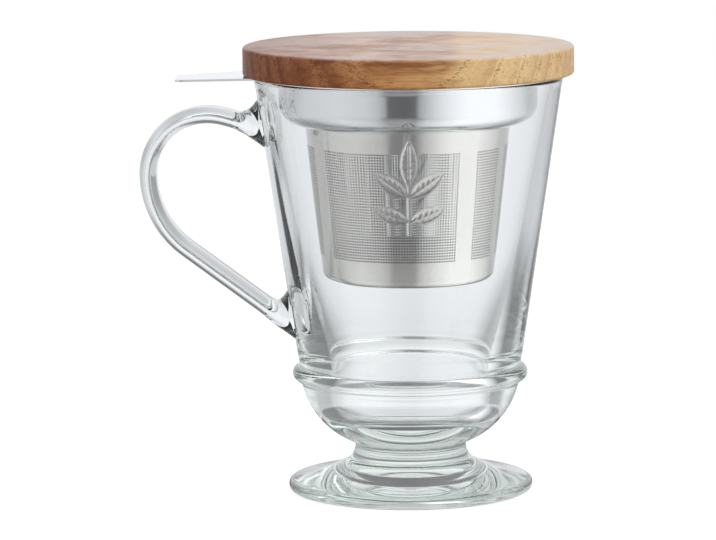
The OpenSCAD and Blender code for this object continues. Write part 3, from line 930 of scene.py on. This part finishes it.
@dataclass(frozen=True)
class Strap:
    """Glass strap handle: one section swept over a crown and round a heel, with a pad at each end."""

    drop: float = 13.6              # upper seat below the rim
    rise: float = 11.6              # lower seat above the waist
    reach: float = 77.6
    thick: float = 5.3
    wide: float = 13.0
    crown_rise: float = 2.9
    crown_r: float = 17.0
    heel_r: float = 27.0
    pad: float = 14.4
    pad_flare: float = 3.0
    flare: float = 8.0              # length over which the strap grows into a pad
    foot: float = 7.0               # length of the bend at the lower seat
    foot_drop: float = 3.6
    sink: float = 1.7               # how far each seat lies inside the wall
    squareness: float = 0.95        # power of the section's superellipse; 1 is an ellipse
    high_pull: float = 7.0          # pull of the upper curve where it leaves its seat
    crown_pull: float = 0.4         # and where it meets the crown, as a share of the crown's radius
    over_steps: int = 40
    turn_steps: int = 32
    under_steps: int = 24
    corners: int = 56

    @staticmethod
    def curve(corners: Sequence[Array], steps: int) -> Array:
        """Bézier curve: each corner weighs in with its share of ((1 - t) + t)³.

        Args:
            corners: The four corners.
            steps: Number of points.

        Returns:
            The points, without the last corner.
        """
        a, b, c, d = corners
        t = np.arange(steps)[:, None] / steps
        return a * (1 - t) ** 3 + b * 3 * t * (1 - t) ** 2 + c * 3 * t ** 2 * (1 - t) + d * t ** 3

    @staticmethod
    def arc(centre: Array, radius: float, first: float, last: float, steps: int) -> Array:
        """Arc between two angles in radians, without its last point."""
        angle = first + (last - first) * np.arange(steps) / steps
        return centre + radius * np.stack([np.cos(angle), np.sin(angle)], axis=1)

    def path(self, mug: "Mug") -> tuple[Array, Array, Array]:
        """Middle line of the strap in the plane y = 0, and the seats.

        Args:
            mug: The mug that carries it.

        Returns:
            The line's points, the upper seat and the lower seat, as x and z.
        """
        out = np.array([-1, -mug.slope]) / math.hypot(1, mug.slope)
        high_z, low_z = mug.height - self.drop, mug.waist_z + self.rise
        high, low = (np.array([-mug.wall(z), z]) - out * self.sink for z in (high_z, low_z))
        bend = low + out * (self.sink + self.foot) + [0, self.foot_drop]
        side = self.thick / 2 - self.reach
        crown = np.array([side + self.crown_r, high_z + self.crown_rise - self.crown_r])
        heel = np.array([side + self.heel_r, crown[1]])
        way = bend - heel
        end = math.atan2(way[1], way[0]) - math.acos(self.heel_r / np.linalg.norm(way))
        top = crown + [0, self.crown_r]
        leave = heel + self.heel_r * np.array([math.cos(end), math.sin(end)])
        slant = (bend - leave) / np.linalg.norm(bend - leave)
        over = (high, high + out * self.high_pull, top + [self.crown_r * self.crown_pull, 0], top)
        under = (bend, bend + slant * self.foot / 2, low + out * (self.sink + self.foot / 3), low)
        line = np.vstack([
            self.curve(over, self.over_steps),
            self.arc(crown, self.crown_r, math.pi / 2, math.pi, self.turn_steps),
            self.arc(heel, self.heel_r, -math.pi, end, self.turn_steps),
            straight(leave, bend, 1.0),
            self.curve(under, self.under_steps),
            low[None, :],
        ])
        return line, high, low

    def build(self, mug: "Mug") -> bpy.types.Object:
        """The closed strap: a superellipse carried along the path, thicker and wider towards each seat.

        Args:
            mug: The mug that carries it.

        Returns:
            The strap, with both its ends inside the wall.
        """
        line, high, low = self.path(mug)
        ahead = np.gradient(line, axis=0)
        ahead /= np.linalg.norm(ahead, axis=1)[:, None]
        apart = np.minimum(*(np.linalg.norm(line - seat, axis=1) for seat in (high, low)))
        near = np.clip(1 - np.maximum(0, apart - self.sink) / self.flare, 0, 1)[:, None]
        wall_up = np.array([-mug.slope, 1]) / math.hypot(mug.slope, 1)
        square = np.stack([ahead[:, 1], -ahead[:, 0]], axis=1)
        across = square * (1 - near) + wall_up * near * np.sign(square @ wall_up)[:, None]
        across /= np.linalg.norm(across, axis=1)[:, None]
        angle = np.arange(self.corners) * 2 * math.pi / self.corners
        cos, sin = (np.sign(f) * np.abs(f) ** self.squareness for f in (np.cos(angle), np.sin(angle)))
        half_t = (self.thick + (self.pad - self.thick) * near ** 2) / 2
        half_w = (self.wide + self.pad_flare * near ** 2) / 2
        flat = line[:, None, :] + across[:, None, :] * (half_t * cos)[:, :, None]
        points = np.stack([flat[..., 0], half_w * sin, flat[..., 1]], axis=-1)
        first, last = (np.broadcast_to([p[0], 0, p[1]], points[:1].shape) for p in (line[0], line[-1]))
        points = np.concatenate([first, points, last])
        return build("strap", points.reshape(-1, 3), grid_quads(len(points), self.corners))


@dataclass(frozen=True)
class Mug:
    """The glass: bowl, foot and strap handle, fused into one piece."""

    height: float = Span.of("mug_bowl").high
    rim_r: float = 44.4
    rim_wall: float = 3.4
    rim_round: float = 1.0
    waist_r: float = 32.5
    waist_z: float = 39.6
    fillet: float = 0.3             # small hollow between the bead and the wall
    fillet_sag: float = 0.1
    bead_r: float = 31.8            # circle through the middle of the bead's section
    bead_z: float = 34.4
    bead_t: float = 4.4
    bead_inset: float = 0.2
    bulge: float = 3.0              # sag of the bowl between throat and bead
    neck_r: float = 16.0
    neck_z: float = 13.2
    throat: Range = (0.9, 1.3)      # width and height of the small step from neck to bowl
    throat_sag: float = 0.15
    foot_r: float = 35.3
    foot_edge: float = 3.6
    foot_top: float = 8.4
    foot_sag: float = 0.6
    instep: float = 0.6             # how far the instep spreads for each millimetre below the neck
    instep_sag: float = 0.7
    stand: float = 6.0              # width of the ring that the mug stands on
    hollow: tuple[Triple, ...] = ((0.0, 4.8, 0.3), (17.6, 3.7, 0.2), (18.5, 0.6, 0.0))  # radius, height, sag
    bend_r: float = 33.4
    bend_z: float = 80.0
    bend_sag: float = 0.44
    well: tuple[Triple, ...] = ((23.3, 37.0, 0.0), (22.6, 30.0, 1.4), (17.6, 23.0, 1.0))    # likewise
    floor_z: float = 20.8           # middle of the floor
    seat: float = 0.02              # how far the rim stays clear of the flange
    ripples: tuple[Triple, ...] = ((7, 0.11, 0.4), (12, 0.06, 2.1), (19, 0.03, 4.0))  # count, depth and start
    ripple_side: Range = (0.35, 0.9)    # strength at the front, and how much it gains towards the handle
    ripple_low: float = 25.0        # height over the waist at which the ripples have their full depth
    ripple_high: float = 8.0        # depth below the rim from which they fade
    front: float = 17.0             # half the angle that the sprig takes up, in degrees
    fine: float = 0.38              # angle between columns across the sprig, in degrees
    coarse: float = 2.25
    row: float = 0.29               # distance between rows across the sprig
    margin: float = 1.0             # close rows above and below the sprig
    sprig_turn: float = 1.0         # turn from the front, in radians, past which there is no sprig
    sprig: Sprig = Sprig()
    strap: Strap = Strap()

    @property
    def slope(self) -> float:
        """How much wider the wall gets for each millimetre of height."""
        return (self.rim_r - self.waist_r) / (self.height - self.waist_z)

    def wall(self, z: Array | float) -> Array | float:
        """Outer radius of the wall at a height between waist and rim."""
        return self.waist_r + self.slope * (z - self.waist_z)

    def on_wall(self, z: float) -> tuple[float, float]:
        """Point of the outline on the wall at a height."""
        return self.wall(z), z

    def outside(self) -> Array:
        """Outline from the hollow under the foot, over foot, neck, bowl and bead, to the rim.

        The last number of each part is how many points it has, or its longest step.

        Returns:
            Radius and height of each row.
        """
        edge = self.foot_edge / 2
        stand_r = self.foot_r - edge
        ring = (stand_r - self.stand, 0)
        crown, flank, lip = self.hollow
        instep = (self.neck_r + (self.neck_z - self.foot_top) * self.instep, self.foot_top)
        neck = (self.neck_r, self.neck_z)
        low = (self.neck_r + self.throat[0], self.neck_z + self.throat[1])
        half = self.bead_t / 2
        turn = np.linspace(-math.pi / 2, math.pi / 2, 20)
        bead = np.stack([self.bead_r + half * np.cos(turn), self.bead_z + half * np.sin(turn)], axis=1)
        sprig_top = self.height - self.sprig.drop + self.margin
        sprig_low = sprig_top - self.sprig.height - 2 * self.margin
        brow = self.height - self.rim_round
        crest = (self.rim_r - self.rim_round, self.height - self.seat)
        return np.vstack([
            bow(crown[:2], flank[:2], crown[2], 14),
            bow(flank[:2], lip[:2], flank[2], 8),
            straight(lip[:2], ring, 2.5),
            straight(ring, (stand_r, 0), 2.0),
            quarter((stand_r, 0), (self.foot_r, edge), -edge),
            quarter((self.foot_r, edge), (stand_r, self.foot_edge), -edge),
            bow((stand_r, self.foot_edge), instep, self.foot_sag, 16),
            bow(instep, neck, self.instep_sag, 14),
            bow(neck, low, self.throat_sag, 5),
            bow(low, (self.bead_r - self.bead_inset, self.bead_z - half), -self.bulge, 40),
            bead,
            bow((self.bead_r + self.fillet, self.bead_z + half + self.fillet), self.on_wall(self.waist_z),
                self.fillet_sag, 4),
            straight(self.on_wall(self.waist_z), self.on_wall(sprig_low), 2.0),
            straight(self.on_wall(sprig_low), self.on_wall(sprig_top), self.row),
            straight(self.on_wall(sprig_top), self.on_wall(brow), 1.2),
            quarter(self.on_wall(brow), crest, -self.rim_round),
        ])

    def inside(self) -> Array:
        """Outline from the rim down the wall and the well to the middle of the floor, in like parts.

        Returns:
            Radius and height of each row.
        """
        inner = self.rim_r - self.rim_wall
        crest = (inner + self.rim_round, self.height - self.seat)
        brow = (inner, self.height - self.rim_round)
        bend, well = (self.bend_r, self.bend_z), self.well[0][:2]
        floor = (0.0, self.floor_z)
        stations = [*self.well, (*floor, 0.0)]
        down = [bow(near[:2], far[:2], near[2], 18) if near[2] else straight(near[:2], far[:2], 0.8)
                for near, far in zip(stations, stations[1:])]
        return np.vstack([
            straight((self.rim_r - self.rim_round, self.height - self.seat), crest, 0.8),
            quarter(crest, brow, -self.rim_round),
            straight(brow, bend, 2.0),
            bow(bend, well, self.bend_sag, 24),
            *down,
            [floor],
        ])

    def angles(self) -> Array:
        """Columns round the glass: close together across the sprig, wider apart elsewhere.

        Returns:
            The angle of each column.
        """
        half = math.radians(self.front)
        sprig = FRONT + np.arange(-half, half, math.radians(self.fine))
        rest = np.arange(FRONT + half, FRONT + 2 * math.pi - half, math.radians(self.coarse))
        return np.concatenate([sprig, rest])

    def swell(self, outline: Array, outer: int, angles: Array) -> Array:
        """Added radius: the sprig outside, and slow ripples inside, which are a sum of sines of the angle.

        Args:
            outline: Radius and height of each row.
            outer: How many of the rows are outside.
            angles: Angle of each column.

        Returns:
            The radius, rows by columns.
        """
        turn = (angles - FRONT + math.pi) % (2 * math.pi) - math.pi
        height = outline[:, 1:]
        outward = (np.arange(len(outline)) < outer)[:, None]
        across = np.sin(turn)[None, :] * outline[:, :1]
        up = height - (self.height - self.sprig.drop - self.sprig.height)
        ahead = outward & (height > self.waist_z) & (np.abs(turn) < self.sprig_turn)
        ripple = sum(depth * np.sin(count * angles + start) for count, depth, start in self.ripples)
        front, gain = self.ripple_side
        ripple = ripple * smooth(front - gain * np.cos(angles))
        deep = smooth((height - self.waist_z) / self.ripple_low)
        deep = deep * smooth((self.height - height) / self.ripple_high)
        sprig = np.where(ahead, self.sprig.swell(across, up), 0.0)
        return sprig + np.where(outward, 0.0, deep * ripple[None, :])

    def build(self) -> None:
        """Turn the glass, raise the sprig on it and fuse the strap to it."""
        outside = self.outside()
        outline = np.vstack([outside, self.inside()])
        angles = self.angles()
        points, _ = turned_grid(outline, angles, self.swell(outline, len(outside), angles))
        glass = build("glass_mug", points, grid_quads(len(outline), len(angles)))
        united(glass, self.strap.build(self))
        glass.data.shade_smooth()
        dress(glass, Look.GLASS, "mug", "glass", ("mug_bowl", "mug_foot", "mug_handle"))


# ---------------------------------------------------------------- infuser

@dataclass(frozen=True)
class Tab:
    """Flat tongue that leaves the flange under the lid, narrows outwards and droops a little."""

    reach: float = 66.6
    root_half: float = 13.0
    tip_half: float = 7.5
    corner: float = 1.6
    droop: float = 2.0              # in degrees
    overlap: float = 1.0            # how far it starts inside the flange's edge
    steps: int = 15

    def build(self, flange_r: float, middle: float, sheet: float, edge: float) -> bpy.types.Object:
        """The tongue: its half outline carried across, z falling with the distance past the flange.

        Args:
            flange_r: Radius of the flange.
            middle: Height of the middle of its sheet.
            sheet: Thickness of the sheet.
            edge: Rounding of its edges.

        Returns:
            The object.
        """
        root = math.sqrt(flange_r ** 2 - self.root_half ** 2) - self.overlap
        shoulder, nose = (self.reach - self.corner, self.tip_half), (self.reach, self.tip_half - self.corner)
        side = straight((root, self.root_half), shoulder, 2.0)
        half = np.vstack([side, quarter(shoulder, nose, self.corner), [nose]])
        steps = np.linspace(-1, 1, self.steps)
        x = np.broadcast_to(-half[:, :1], (len(half), self.steps))
        z = np.minimum(middle + (x + flange_r) * math.tan(math.radians(self.droop)), middle) + sheet / 2
        points = np.stack([x, half[:, 1:] * steps, z], axis=-1).reshape(-1, 3)
        spin = np.stack([points[:, 0] * 0, points[:, 0] * MM, points[:, 1] * MM], axis=-1)
        tab = build("lift_tab_plate", points, grid_quads(len(half), self.steps)[:, :-1], spin)
        thick = tab.modifiers.new("sheet", "SOLIDIFY")
        thick.thickness = sheet * MM
        thick.offset = -1 if tab.data.polygons[0].normal.z > 0 else 1
        bevel = tab.modifiers.new("edge", "BEVEL")
        bevel.width = edge * MM
        bevel.segments = 3
        bevel.limit_method = "ANGLE"
        return creased(modified(tab))


@dataclass(frozen=True)
class Perforation:
    """Square rows of fine holes round the basket, in panels with plain strips between them."""

    columns: int = 216
    rows: int = 40
    pitch: float = 0.785
    low: float = 69.6
    open_share: float = 0.58        # hole's width over the pitch
    thick: float = 0.3
    border: int = 4                 # rows of faces in the plain bands below and above the holes
    strips: tuple[Range, ...] = (   # middle and width of each plain strip, in degrees
        (35, 12), (66, 8), (107, 12), (-61, 12), (-157, 12))

    def build(self, basket: "Infuser") -> bpy.types.Object:
        """The basket's wall: a cone's grid whose lines bound the holes, with the hole quads left out.

        Args:
            basket: The infuser that it belongs to.

        Returns:
            The object.
        """
        floor = basket.low_z + basket.floor_bend
        band = self.low + self.pitch * (np.arange(self.rows)[:, None] + [0, self.open_share]).ravel()
        top = band[-1] + self.pitch * (1 - self.open_share)
        heights = np.concatenate([np.linspace(floor, self.low, self.border + 1)[:-1], band,
                                  np.linspace(top, basket.shoulder_z, self.border + 1)])
        step = 2 * math.pi / self.columns
        angles = FRONT + step * (np.arange(self.columns)[:, None] + [0, self.open_share]).ravel()
        outline = np.stack([basket.radius(heights), heights], axis=1)
        points, spin = turned_grid(outline, angles)
        middles = within_half_turn(np.degrees(angles[0::2] - FRONT + step * self.open_share / 2))
        at, width = np.array(self.strips).T[:, :, None]
        plain = np.any(np.abs(within_half_turn(middles - at)) < width / 2, axis=0)
        hole_row = np.isin(np.arange(len(heights) - 1), self.border + 2 * np.arange(self.rows))
        hole_column = np.repeat(~plain, 2) & (np.arange(len(angles)) % 2 == 0)
        kept = grid_quads(len(heights), len(angles))[~(hole_row[:, None] & hole_column[None, :])]
        wall = build("perforated_basket", points, kept, spin)
        thick = wall.modifiers.new("sheet", "SOLIDIFY")
        thick.thickness = self.thick * MM
        thick.offset = -1
        thick.use_even_offset = False
        return creased(modified(wall))


@dataclass(frozen=True)
class Infuser:
    """Steel infuser: flange, collar and shoulder in one drawn sheet, lift tab, basket and its floor."""

    sheet: float = 0.6
    flange_r: float = Span.of("infuser_collar").radius
    rim_z: float = Span.of("infuser_collar").high - sheet
    shoulder_z: float = Span.of("infuser_collar").low
    collar_r: float = 37.4
    collar_bend: float = 2.4        # bend between collar and flange, on its outer side
    shoulder: Range = (7.4, 5.8)    # width and height of the shoulder's quarter ellipse
    seat: float = 0.02              # how far the flange stays clear of the rim
    edge: float = 0.2               # rounding of the flange's edge
    top_r: float = Span.of("basket_wall").radius
    low_r: float = 24.4
    low_z: float = Span.of("basket_floor").low
    floor_bend: float = 2.4
    skirt: float = 5.0              # height of the floor's edge inside the wall
    dish: float = 0.5               # how far the middle of the floor is raised
    dish_flat: float = 4.0          # width of the flat round the raised middle
    dish_sag: float = 0.05
    collar_columns: int = 320
    floor_columns: int = 256
    tab: Tab = Tab()
    perforation: Perforation = Perforation()

    def build(self) -> None:
        """Make and dress the four pieces."""
        middle = self.rim_z + self.sheet / 2
        polished, satin = (Look.POLISHED, "polished_steel"), (Look.SATIN, "satin_steel")
        pieces = (
            (self.collar(), *polished, "infuser_collar"),
            (self.tab.build(self.flange_r, middle, self.sheet, self.edge), *polished, "lift_tab"),
            (self.perforation.build(self), *satin, "basket_wall"),
            (self.floor(), *satin, "basket_floor"),
        )
        for piece, look, slot, node in pieces:
            dress(piece, look, "infuser", slot, (node,))

    def radius(self, z: Array | float) -> Array | float:
        """Outer radius of the basket at a height."""
        return self.low_r + (self.top_r - self.low_r) * (z - self.low_z) / (self.shoulder_z - self.low_z)

    def collar(self) -> bpy.types.Object:
        """Flange, collar and shoulder: an outline of one sheet, bent twice, with a rounded rim.

        Returns:
            The object.
        """
        s, out, bend, edge = self.sheet, self.collar_r, self.collar_bend, self.edge
        under, top = self.rim_z + self.seat, self.rim_z + s
        mid, brow = out + bend, self.rim_z - bend
        rim = self.flange_r - edge
        wide, tall = self.shoulder
        low = self.shoulder_z
        turn = np.linspace(0, math.pi / 2, 28)[:, None]
        outer = (out - wide, low + tall) + np.hstack([wide * np.sin(turn), -tall * np.cos(turn)])
        inner = (out - wide, low + tall) + np.hstack([(wide - s) * np.sin(turn), -(tall - s) * np.cos(turn)])
        return creased(turned("collar", np.vstack([
            quarter((out, brow), (mid, under), bend, 14),
            straight((mid, under), (rim, under), 1.5),
            quarter((rim, under), (self.flange_r, under + edge), -edge, 4),
            quarter((self.flange_r, top - edge), (rim, top), -edge, 4),
            straight((rim, top), (mid, top), 1.5),
            quarter((mid, top), (out - s, brow), -(bend + s), 14),
            straight((out - s, brow), inner[-1], 1.0),
            inner[::-1],
            straight((self.top_r - s, low + s), (self.top_r - s, low), 1.0),
            outer,
            straight(outer[-1], (out, brow), 1.0),
        ]), self.collar_columns))

    def floor(self) -> bpy.types.Object:
        """Pressed cup that closes the basket, flush with the wall outside, with its edge turned up inside it.

        Returns:
            The object.
        """
        s, bend, base = self.sheet, self.floor_bend, self.low_z
        low = base + bend
        rim = low + self.skirt
        low_r, rim_r = self.radius(low), self.radius(rim)
        corner = low_r - bend
        flat = corner - self.dish_flat
        return creased(turned("basket_floor_cup", np.vstack([
            bow((0, base + self.dish), (flat, base), self.dish_sag, 16),
            straight((flat, base), (corner, base), 1.5),
            quarter((corner, base), (low_r, low), -bend, 14),
            straight((low_r, low), (low_r - s, low), 0.3),
            straight((low_r - s, low), (rim_r - s, rim), 1.5),
            straight((rim_r - s, rim), (rim_r - 2 * s, rim), 0.3),
            straight((rim_r - 2 * s, rim), (low_r - 2 * s, low), 1.5),
            quarter((low_r - 2 * s, low), (corner - s, base + s), bend - s, 10),
            straight((corner - s, base + s), (flat - s, base + s), 1.5),
            bow((flat - s, base + s), (0, base + s + self.dish), -self.dish_sag, 16),
            [(0, base + s + self.dish)],
        ]), self.floor_columns, ring=False))


# ---------------------------------------------------------------- lid

@dataclass(frozen=True)
class Lid:
    """Loose oak disc with a turned boss, and the silicone ring in the boss's groove."""

    disc_r: float = Span.of("lid_disc").radius
    top: float = Span.of("lid_disc").high
    low: float = Span.of("lid_disc").low
    under: float = 120.8
    edge: float = 0.8
    boss_r: float = 36.0
    chamfer: float = 0.5
    groove: float = 1.6             # depth of the groove
    groove_h: float = 3.2
    gap: float = 0.08               # clearance of the ring in the groove
    crease: float = 50.0            # in degrees
    disc_columns: int = 320
    ring_columns: int = 192

    @property
    def groove_low(self) -> float:
        """Height of the lower side of the groove."""
        return self.low + (self.under - self.low - self.groove_h) / 2

    def disc(self) -> bpy.types.Object:
        """The disc and its boss.

        Returns:
            The object.
        """
        low, high = self.groove_low, self.groove_low + self.groove_h
        back, boss, base = self.boss_r - self.groove, self.boss_r, self.low + self.chamfer
        r, inner = self.disc_r, self.disc_r - self.edge
        return creased(turned("oak_disc", np.vstack([
            straight((0, self.low), (boss - self.chamfer, self.low), 3.0),
            straight((boss - self.chamfer, self.low), (boss, base), 0.4),
            straight((boss, base), (boss, low), 0.6),
            straight((boss, low), (back, low), 0.6),
            straight((back, low), (back, high), 1.0),
            straight((back, high), (boss, high), 0.6),
            straight((boss, high), (boss, self.under), 0.6),
            straight((boss, self.under), (inner, self.under), 2.0),
            quarter((inner, self.under), (r, self.under + self.edge), -self.edge),
            straight((r, self.under + self.edge), (r, self.top - self.edge), 1.0),
            quarter((r, self.top - self.edge), (inner, self.top), -self.edge),
            straight((inner, self.top), (0, self.top), 3.0),
            [(0, self.top)],
        ]), self.disc_columns, ring=False), self.crease)

    def ring(self) -> bpy.types.Object:
        """The silicone ring: square at its back, with a round lip that reaches the collar.

        Returns:
            The object.
        """
        low, high = self.groove_low + self.gap, self.groove_low + self.groove_h - self.gap
        back = self.boss_r - self.groove + self.gap
        lip = (high - low) / 3
        lip_r = Span.of("seal_ring").radius - lip
        return creased(turned("silicone_ring", np.vstack([
            straight((back, high), (back, low), 1.0),
            straight((back, low), (lip_r, low), 0.5),
            bow((lip_r, low), (lip_r, high), -lip, 16),
            straight((lip_r, high), (back, high), 0.5),
        ]), self.ring_columns))

    def build(self) -> None:
        """Turn and dress the disc and the ring."""
        dress(self.disc(), Look.OAK, "lid", "oak", ("lid_disc",))
        dress(self.ring(), Look.SILICONE, "seal", "silicone", ("seal_ring",))


# ---------------------------------------------------------------- studio

@dataclass(frozen=True)
class Studio:
    """White table and surroundings: two bright panels in front with a dark gap between them, white behind."""

    lens: float = 220.0
    sensor: float = 36.0
    eye: Triple = (0.0, -1.25, 0.2404)  # in metres
    yaw: float = -0.0119
    pitch: float = 0.1402
    roll: float = -0.0082
    bounces: int = 24
    glossy_bounces: int = 12
    table: Triple = (800.0, -330.0, 1200.0)     # half width, front edge and back edge
    sunk: float = 0.05              # how far the table lies under the foot
    tone: Colour = DAYLIGHT
    belts: tuple[tuple[float, Belt], ...] = (   # lights at each elevation, in degrees
        (-22, (
            (-180, 0.85), (-162, 0.82), (-148, 0.55), (-120, 0.5), (-105, 0.65), (-60, 0.85), (-30, 0.7),
            (-20, 0.2), (6, 0.2), (14, 0.6), (40, 1.2), (80, 1.3), (115, 0.75), (130, 0.4), (150, 0.6),
            (180, 0.85))),
        (-10, (
            (-180, 0.88), (-164, 0.86), (-150, 0.7), (-130, 0.6), (-114, 0.62), (-96, 0.8), (-60, 0.87),
            (-38, 0.8), (-27, 0.66), (-20.5, 0.5), (-17.5, 0.16), (-3, 0.13), (6, 0.16), (10, 0.5),
            (16, 0.67), (26, 0.94), (37, 1.13), (52, 1.3), (80, 1.3), (95, 1.13), (110, 0.68), (117, 0.38),
            (124, 0.3), (140, 0.36), (158, 0.82), (180, 0.88))),
        (6, (
            (-180, 1.05), (-164, 0.97), (-150, 0.65), (-125, 0.5), (-114, 0.62), (-96, 0.8), (-60, 0.87),
            (-38, 0.8), (-27, 0.66), (-20.5, 0.45), (-17.5, 0.1), (6, 0.1), (10, 0.45), (26, 0.9), (52, 1.25),
            (80, 1.2), (95, 0.9), (112, 0.5), (124, 0.35), (142, 0.4), (158, 0.97), (180, 1.05))),
        (24, (
            (-180, 0.8), (-155, 0.6), (-112, 0.8), (-68, 0.75), (-22, 0.55), (0, 0.6), (22, 1.1), (50, 1.7),
            (85, 1.4), (110, 0.7), (140, 0.5), (160, 0.7), (180, 0.8))),
        (50, ((-180, 0.7), (-120, 0.5), (-60, 0.7), (0, 1.0), (40, 2.0), (80, 1.8), (120, 0.9), (180, 0.7))),
        (78, ((-180, 1.3), (180, 1.3))),
    )

    def camera(self) -> None:
        """Camera from its place and its three angles."""
        cos = math.cos(self.pitch)
        ahead = Vector((math.sin(self.yaw) * cos, math.cos(self.yaw) * cos, -math.sin(self.pitch)))
        level = ahead.cross(Vector((0, 0, 1))).normalized()
        rise = level.cross(ahead)
        right = math.cos(self.roll) * level + math.sin(self.roll) * rise
        up = math.cos(self.roll) * rise - math.sin(self.roll) * level
        data = bpy.data.cameras.new("camera")
        data.lens, data.sensor_width, data.sensor_fit = self.lens, self.sensor, "HORIZONTAL"
        camera = bpy.data.objects.new("camera", data)
        rows = [[right[i], up[i], -ahead[i], self.eye[i]] for i in range(3)]
        camera.matrix_world = Matrix([*rows, [0, 0, 0, 1]])
        bpy.context.scene.collection.objects.link(camera)
        bpy.context.scene.camera = camera

    def floor(self) -> None:
        """The table's top, a hair under the foot."""
        half, front, back = self.table
        low = -self.sunk
        corners = np.array([(-half, front, low), (half, front, low), (half, back, low), (-half, back, low)])
        floor = build("table_top", corners, np.array([[0, 1, 2, 3]]))
        floor.data.materials.append(Look.TABLE.value.material())

    def world(self) -> None:
        """Surroundings by direction, white to the camera itself.

        The brightness runs between the belts with the sine of the elevation.
        """
        world = bpy.data.worlds.new("studio")
        world.use_nodes = True
        wire = Wiring(world.node_tree)
        world.node_tree.nodes.clear()
        x, y, z = wire.add("SeparateXYZ", {0: wire.add("TexCoord").outputs["Generated"]}).outputs
        whole, below = None, 0.0
        for elevation, belt in self.belts:
            level = wire.belt(x, y, belt)
            height = math.sin(math.radians(elevation))
            whole = level if whole is None else wire.blend(wire.ramp(z, below, height), whole, level)
            below = height
        tinted = wire.blend(1.0, whole, self.tone, "MULTIPLY")
        light, white = (wire.add("Background", {"Color": colour, "Strength": 1.0}).outputs[0]
                        for colour in (tinted, (1, 1, 1)))
        seen = wire.add("LightPath").outputs["Is Camera Ray"]
        both = wire.add("MixShader", {0: seen, 1: light, 2: white}).outputs[0]
        wire.add("OutputWorld", {"Surface": both})
        bpy.context.scene.world = world

    def build(self) -> None:
        """Set the stage."""
        scene = bpy.context.scene
        scene.view_settings.view_transform = "Standard"
        scene.cycles.max_bounces = self.bounces
        scene.cycles.transmission_bounces = self.bounces
        scene.cycles.glossy_bounces = self.glossy_bounces
        self.camera()
        self.floor()
        self.world()


def main() -> None:
    """Build the stage and the pieces in order."""
    logging.basicConfig(level=logging.INFO, format="%(name)s %(message)s")
    for builder in (Studio(), Mug(), Infuser(), Lid()):
        builder.build()


if __name__ == "__main__":
    main()
